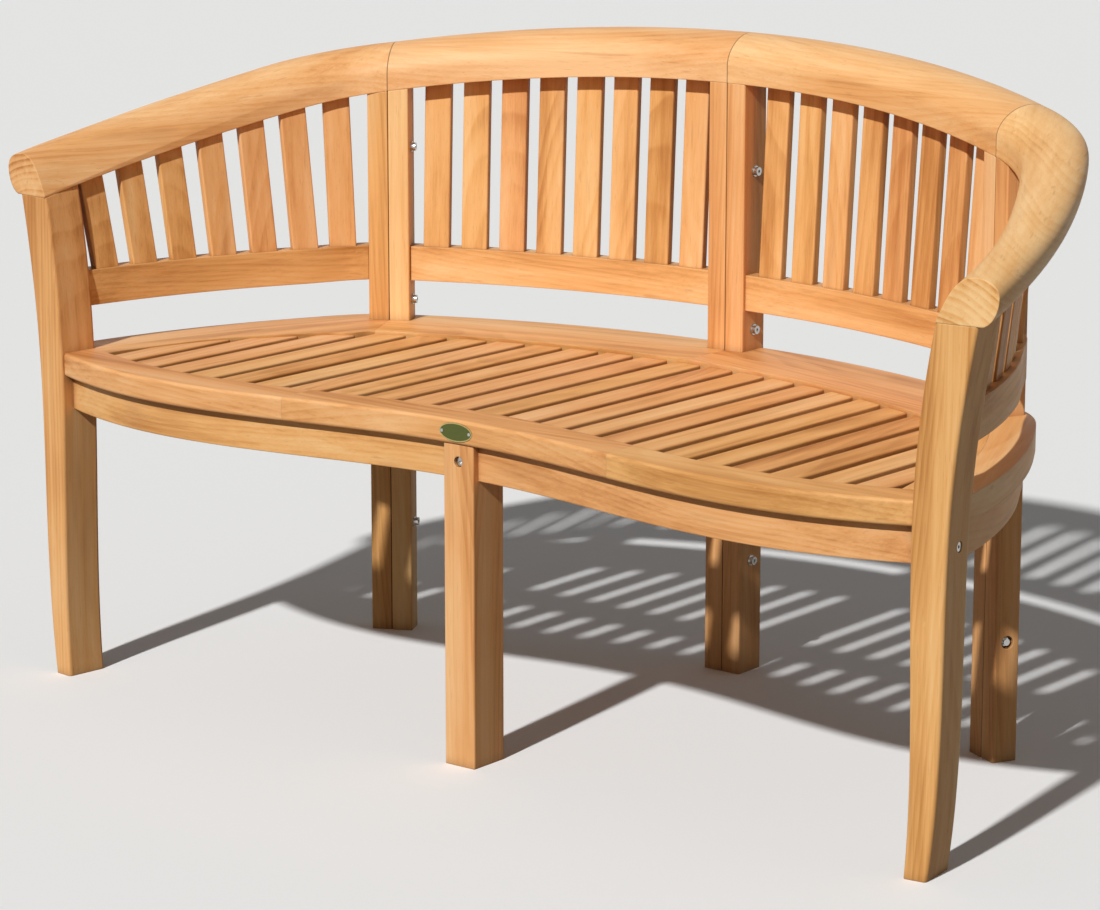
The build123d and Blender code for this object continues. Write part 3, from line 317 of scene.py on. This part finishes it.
def joint_cover(graph):
    """Dark line on the planes where the pairs of posts meet and the top rails are joined."""
    x, y, _ = graph.split(graph.place())
    width = graph.math("ABSOLUTE", x)
    turn = graph.math("ARCTAN2", width, graph.math("SUBTRACT", y, BACK_ARC_MIDDLE[1]))
    past_corner = graph.math("MULTIPLY_ADD", turn, BACK_ARC_RADIUS, -CORNER_ALONG)
    nearest = graph.math("MINIMUM", width, graph.math("ABSOLUTE", past_corner))
    return graph.spread(nearest, JOINT_ENDS, JOINT_COVER)


def growth_rings(graph, local, grain, chance):
    """1 in the darkest latewood of the rings round a heart beside the board."""
    chance_tilt = graph.split(chance)[0]
    tilt = graph.math("MULTIPLY", graph.math("SUBTRACT", chance_tilt, NOISE_MIDDLE), HEART_TILT)
    drift = graph.math("MULTIPLY", graph.split(local)[0], tilt)
    heart = graph.vector("MULTIPLY_ADD", chance, HEART_SPREAD, HEART_PLACE)
    from_heart = graph.vector("ADD", graph.vector("ADD", local, heart), graph.join(0.0, drift, drift))
    wander = graph.noise(grain, WANDER, "Color")
    from_heart = graph.vector("MULTIPLY_ADD", wander, WANDER_REACH, from_heart)
    radius = graph.vector("LENGTH", graph.vector("MULTIPLY", from_heart, ACROSS_GRAIN))
    years = graph.math("MULTIPLY", radius, RINGS_PER_METRE)
    season = graph.math("FRACT", years)
    late = graph.math("SUBTRACT", graph.spread(season, LATE_RISE), graph.spread(season, LATE_FALL))
    year_noise = {"W": years, "Scale": YEAR_SCALE, "Detail": YEAR_DETAIL}
    year = graph.add("ShaderNodeTexNoise", year_noise, noise_dimensions="1D").outputs["Fac"]
    return graph.math("MULTIPLY", late, graph.spread(year, NOISE_ENDS, YEAR_DEPTHS))


def timber(name, grain_frame, seed, tone, jointed):
    """Plank-sawn hardwood with growth rings, streaks, stains, pores, edges paled partly by wear and
    partly as painted highlight, painted shade in crevices and under parts, and dark joints.
    """
    material, graph, shader = new_material(name)
    local, number, end_grain = grain_frame(graph)
    piece = graph.math("ADD", number, seed * SEED_STEP)
    chance = graph.add("ShaderNodeTexWhiteNoise", {"W": piece}, noise_dimensions="1D").outputs["Color"]
    _, chance_tone, chance_hue = graph.split(chance)
    grain = graph.vector("MULTIPLY_ADD", chance, PIECE_SHIFT, local)
    rings = growth_rings(graph, local, grain, chance)
    fibre = graph.noise(grain, FIBRE)
    clouds = graph.noise(grain, CLOUDS)

    # Shade and colour of the bare wood
    ring_shade = graph.spread(end_grain, WHOLE, RING_SHADES)
    shade = graph.math("MULTIPLY_ADD", rings, ring_shade, BASE_SHADE + tone)
    shade = graph.sway(shade, chance_tone, PIECE_SWAY)
    shade = graph.sway(shade, fibre, FIBRE_SWAY)
    shade = graph.sway(shade, graph.noise(grain, STREAKS), STREAK_SWAY)
    shade = graph.sway(shade, graph.noise(grain, BANDS), BAND_SWAY)
    shade = graph.sway(shade, clouds, CLOUD_SWAY)
    colour = graph.ramp(shade, WOOD_STOPS)
    hue = graph.spread(chance_hue, WHOLE, HUE_ENDS)
    colour = graph.add("ShaderNodeHueSaturation", {"Hue": hue, "Color": colour}).outputs[0]

    # Mineral streaks, stains and pores
    mineral_mask = graph.spread(graph.noise(grain, MINERAL), MINERAL_ENDS, MINERAL_COVER)
    colour = graph.mix(mineral_mask, colour, STREAK_COLOUR)
    stain_mask = graph.spread(graph.noise(grain, STAINS), STAIN_ENDS, STAIN_COVER)
    colour = graph.mix(stain_mask, colour, STAIN_COLOUR)
    pore_mask = graph.spread(graph.noise(grain, PORES), PORE_ENDS, PORE_COVER)
    colour = graph.mix(pore_mask, colour, PORE_COLOUR)

    # Paler edges, partly wear and partly painted highlight; scuffs; painted shade in crevices and under
    # parts; dark joints
    bevel = graph.add("ShaderNodeBevel", {"Radius": EDGE_RADIUS}, samples=NEARBY_SAMPLES).outputs[0]
    edge = graph.spread(graph.vector("DOT_PRODUCT", bevel, graph.normal()), EDGE_ENDS)
    # Painted highlight and wear: edges lightened towards the palest wood colour
    wear_and_highlight = graph.math("MULTIPLY", edge, graph.spread(clouds, NOISE_ENDS, EDGE_COVER))
    scuffed = graph.spread(graph.noise(grain, SCUFFS), SCUFF_ENDS, SCUFF_COVER)
    colour = graph.mix(graph.math("MAXIMUM", wear_and_highlight, scuffed), colour, (*WOOD_PALE, 1.0))
    # Painted shade: the wood darkens towards the shade colour where nearby surfaces close in, in
    # crevices, gaps and under parts
    reach = {"Distance": PAINTED_SHADE_REACH}
    openness = graph.add("ShaderNodeAmbientOcclusion", reach, samples=NEARBY_SAMPLES).outputs["AO"]
    colour = graph.mix(graph.spread(openness, PAINTED_SHADE_ENDS, PAINTED_SHADE_COVER), colour, PAINTED_SHADE_COLOUR)
    if jointed:
        colour = graph.mix(joint_cover(graph), colour, JOINT_COLOUR)

    # Surface
    graph.plug(shader.inputs["Base Color"], colour)
    graph.plug(shader.inputs["Roughness"], graph.spread(fibre, FIBRE_ENDS, WOOD_ROUGHNESS))
    shader.inputs["Specular IOR Level"].default_value = WOOD_SPECULAR
    height = graph.math("MULTIPLY_ADD", pore_mask, PORE_RELIEF, fibre)
    height = graph.math("MULTIPLY_ADD", rings, RING_RELIEF, height)
    relief = {"Height": height, "Strength": RELIEF_STRENGTH, "Distance": RELIEF_DEPTH, "Normal": bevel}
    graph.plug(shader.inputs["Normal"], graph.add("ShaderNodeBump", relief).outputs[0])
    return material


def metal(name, colour, roughness):
    """Metal with fine scratches, some darker and some duller."""
    material, graph, shader = new_material(name)
    scratches = graph.noise(graph.place(), SCRATCHES)
    darker = [SCRATCH_SHADE * part for part in colour]
    shader.inputs["Metallic"].default_value = 1.0
    graph.plug(shader.inputs["Base Color"], graph.mix(scratches, (*darker, 1.0), (*colour, 1.0)))
    roughness_ends = (roughness - SCRATCH_ROUGHNESS, roughness + SCRATCH_ROUGHNESS)
    graph.plug(shader.inputs["Roughness"], graph.spread(scratches, NOISE_ENDS, roughness_ends))
    return material


def plate_paint():
    """Brushed olive face of the blank plate."""
    material, graph, shader = new_material("plate_paint")
    brushed = graph.noise(graph.place(), BRUSHING)
    clouds = graph.noise(graph.place(), PLATE_CLOUDS)
    graph.plug(shader.inputs["Base Color"], graph.mix(brushed, PLATE_DARK, PLATE_LIGHT))
    graph.plug(shader.inputs["Roughness"], graph.spread(clouds, NOISE_ENDS, PLATE_ROUGHNESS))
    shader.inputs["Metallic"].default_value = PLATE_METALLIC
    return material


def seen_ray(graph):
    """1 where the floor or sky is seen, straight or in a reflection, and 0 where it lights the bench."""
    path = graph.add("ShaderNodeLightPath").outputs
    seen = graph.math("MAXIMUM", path["Is Camera Ray"], path["Is Glossy Ray"])
    return graph.math("MAXIMUM", seen, path["Is Transmission Ray"])


def grain_turn(name):
    """Turn that brings a board's grain onto the X axis."""
    side = -1 if name.endswith("left") else 1
    if "leg" in name or "post" in name:
        return ALONG_Z
    if name == "centre_stretcher":
        return ALONG_Y
    if name.startswith(STRAIGHT_BOARDS):
        return ALONG_X
    if "arm" in name or "side" in name:
        return (0.0, 0.0, side * ARM_TURN)
    return (0.0, 0.0, side * BACK_TURN)


def middle_of(thing):
    """Middle of an object's box."""
    corners = [Vector(corner) for corner in thing.bound_box]
    return sum(corners, Vector()) / len(corners)


def frame_for(name):
    """Grain frame of a node's boards."""
    if name.startswith("seat_slat"):
        return seat_slat_frame
    if name.startswith("back_slats"):
        return lambda graph: upright_slat_frame(
            graph, BACK_ARC_MIDDLE, BACK_ARC_RADIUS, BACK_SLAT_FIRST, BACK_SLAT_PITCH
        )
    if name.startswith("arm_slats"):
        return lambda graph: upright_slat_frame(
            graph, ARM_ARC_MIDDLE, ARM_ARC_RADIUS, ARM_SLAT_FIRST, ARM_SLAT_PITCH
        )
    return lambda graph: board_frame(graph, middle_of(nodes[name]), grain_turn(name))


def tone_for(name):
    """Shade added to a node's boards."""
    return next((tone for start, tone in TONES if name.startswith(start)), 0.0)


# Materials of the nodes
steel = metal("steel", STEEL_COLOUR, STEEL_ROUGHNESS)
brass = metal("brass", BRASS_COLOUR, BRASS_ROUGHNESS)
for number, name in enumerate(sorted(nodes)):
    if name in STEEL_NODES:
        material = steel
    elif name == "oval_plate_border":
        material = brass
    elif name == "oval_plate":
        material = plate_paint()
    else:
        jointed = name.startswith(JOINTED_NODES)
        material = timber(f"wood_{name}", frame_for(name), number + 1, tone_for(name), jointed)
    mesh = nodes[name].data
    mesh.materials.clear()
    mesh.materials.append(material)

# Floor
floor_mesh = bpy.data.meshes.new("floor")
floor_corners = [(x * FLOOR_HALF, y * FLOOR_HALF, 0.0) for x, y in FLOOR_SIGNS]
floor_mesh.from_pydata(floor_corners, [], [(0, 1, 2, 3)])
floor = bpy.data.objects.new("floor", floor_mesh)
bpy.context.scene.collection.objects.link(floor)
floor_material, floor_graph, floor_shader = new_material("floor")
floor_colour = floor_graph.mix(seen_ray(floor_graph), FLOOR_BOUNCE, FLOOR_PALE)
floor_graph.plug(floor_shader.inputs["Base Color"], floor_colour)
floor_shader.inputs["Roughness"].default_value = FLOOR_ROUGHNESS
floor_mesh.materials.append(floor_material)

# Sun and sky
key_light = bpy.data.lights.new("key", "SUN")
key_light.energy = KEY_STRENGTH
key_light.angle = KEY_ANGLE
key = bpy.data.objects.new("key", key_light)
key.rotation_mode = "QUATERNION"
key.rotation_quaternion = KEY_FROM.to_track_quat("Z", "Y")
bpy.context.scene.collection.objects.link(key)

world = bpy.data.worlds.new("studio")
world.use_nodes = True
sky = world.node_tree.nodes["Background"]
sky.inputs["Color"].default_value = SKY_COLOUR
sky_graph = Graph(world.node_tree)
sky_level = sky_graph.spread(seen_ray(sky_graph), WHOLE, SKY_LEVELS)
sky_graph.plug(sky.inputs["Strength"], sky_level)
bpy.context.scene.world = world

# Camera
camera_data = bpy.data.cameras.new("camera")
camera_data.sensor_fit = "HORIZONTAL"
camera_data.sensor_width = SENSOR_MM
camera_data.lens = SENSOR_MM * FOCAL_PIXELS / FRAME_WIDTH
camera = bpy.data.objects.new("camera", camera_data)
right = Vector((math.cos(CAMERA_AZIMUTH), math.sin(CAMERA_AZIMUTH), 0.0))
back = Vector(
    (
        math.sin(CAMERA_AZIMUTH) * math.cos(CAMERA_ELEVATION),
        -math.cos(CAMERA_AZIMUTH) * math.cos(CAMERA_ELEVATION),
        math.sin(CAMERA_ELEVATION),
    )
)
up = back.cross(right)
turn = Matrix((right, up, back)).transposed().to_4x4()
camera.matrix_world = Matrix.Translation(CAMERA_PLACE) @ turn
bpy.context.scene.collection.objects.link(camera)
bpy.context.scene.camera = camera
bpy.context.scene.view_settings.view_transform = "Standard"
